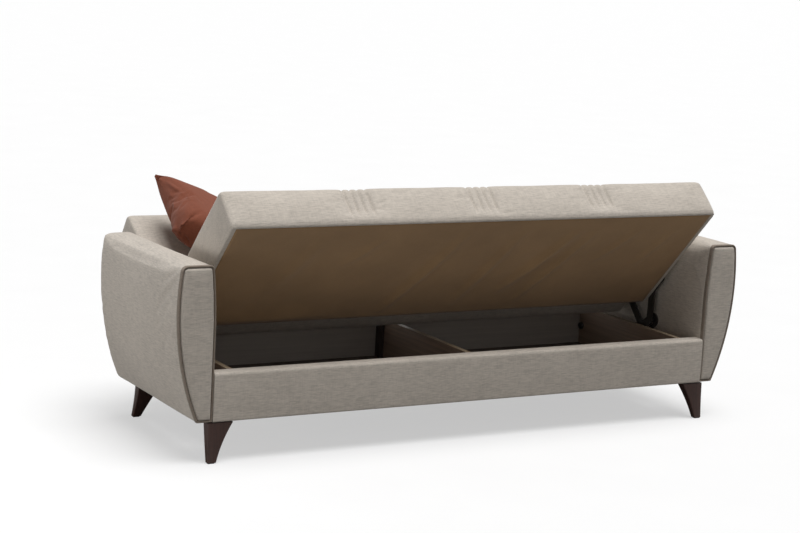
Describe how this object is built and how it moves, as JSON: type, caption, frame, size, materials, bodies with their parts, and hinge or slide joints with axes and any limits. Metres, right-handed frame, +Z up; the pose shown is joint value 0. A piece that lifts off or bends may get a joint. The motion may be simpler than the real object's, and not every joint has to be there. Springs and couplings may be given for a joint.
{
  "type": "storage sofa bed",
  "caption": "Upholstered sofa bed shown with its seat raised over a divided storage box; the seat lowers on curved tracks while the back folds flat to make a bed",
  "frame": {"origin": "on the floor, under the middle of the object's bounding box as it stands open", "axes": "+X along the sofa towards its left-hand arm as seen by a person sitting on it, +Y towards the back, +Z up; the front faces -Y"},
  "size_m": [2.136, 0.8806, 0.8322],
  "materials": {
    "linen": "warm light grey-beige linen weave with fine slubs",
    "underside_cloth": "thin brown lining cloth, slightly wrinkled",
    "rear_cloth": "dark grey cloth over hardboard",
    "pillow_cloth": "terracotta woven cover",
    "webbing": "woven elastic webbing",
    "felt": "dark felt",
    "board": "dark foil-faced board with raw pale edges",
    "dark_wood": "dark stained wood",
    "pine": "raw planed softwood",
    "leg_wood": "dark wenge stain, satin",
    "black_steel": "black powder coat",
    "zinc_steel": "zinc plated",
    "black_plastic": "matte black plastic"
  },
  "bodies": {
    "base": {"arm_body_left": "linen", "arm_body_right": "linen", "arm_front_panel_left": "linen", "arm_front_panel_right": "linen", "arm_piping_left": "linen", "arm_piping_right": "linen", "front_rail_cover": "linen", "rear_panel_cover": "rear_cloth", "rest_pads": "felt", "front_rail_board": "board", "side_board_left": "board", "side_board_right": "board", "rear_board": "board", "centre_divider": "board", "bottom_panel_left": "board", "bottom_panel_right": "board", "divider_post": "dark_wood", "bottom_battens": "pine", "corner_blocks": "pine", "arm_board_left": "pine", "arm_board_right": "pine", "leg_front_left": "leg_wood", "leg_front_right": "leg_wood", "leg_rear_left": "leg_wood", "leg_rear_right": "leg_wood", "lift_track_left": "black_steel", "lift_track_right": "black_steel", "leg_plates": "zinc_steel", "arm_bolts": "black_plastic", "foot_glides": "black_plastic"},
    "seat": {"seat_frame": "pine", "seat_webbing": "webbing", "seat_cushion": "linen", "seat_underside_cloth": "underside_cloth", "seat_plate_left": "black_steel", "seat_plate_right": "black_steel", "seat_plate_bolts": "zinc_steel", "track_rollers": "zinc_steel", "hinge_pins": "zinc_steel"},
    "back": {"back_frame": "pine", "back_webbing": "webbing", "back_cushion": "linen", "back_rear_cloth": "underside_cloth", "back_plate_left": "black_steel", "back_plate_right": "black_steel", "back_plate_bolts": "zinc_steel", "ratchet_housings": "black_steel", "throw_pillow": "pillow_cloth"}
  },
  "joints": [
    {"name": "seat_lift", "type": "hinge", "parent": "base", "child": "seat", "pos_m": [0, 0.09442, 0.5509], "axis": [1, 0, 0], "range_deg": [0, 47]},
    {"name": "back_recline", "type": "hinge", "parent": "seat", "child": "back", "pos_m": [0, 0.0397, 0.39407], "axis": [-1, 0, 0], "range_deg": [0, 80]}
  ],
  "couplings": [
    {"joint": "back_recline", "follows": "seat_lift", "ratio": 1.7021}
  ]
}
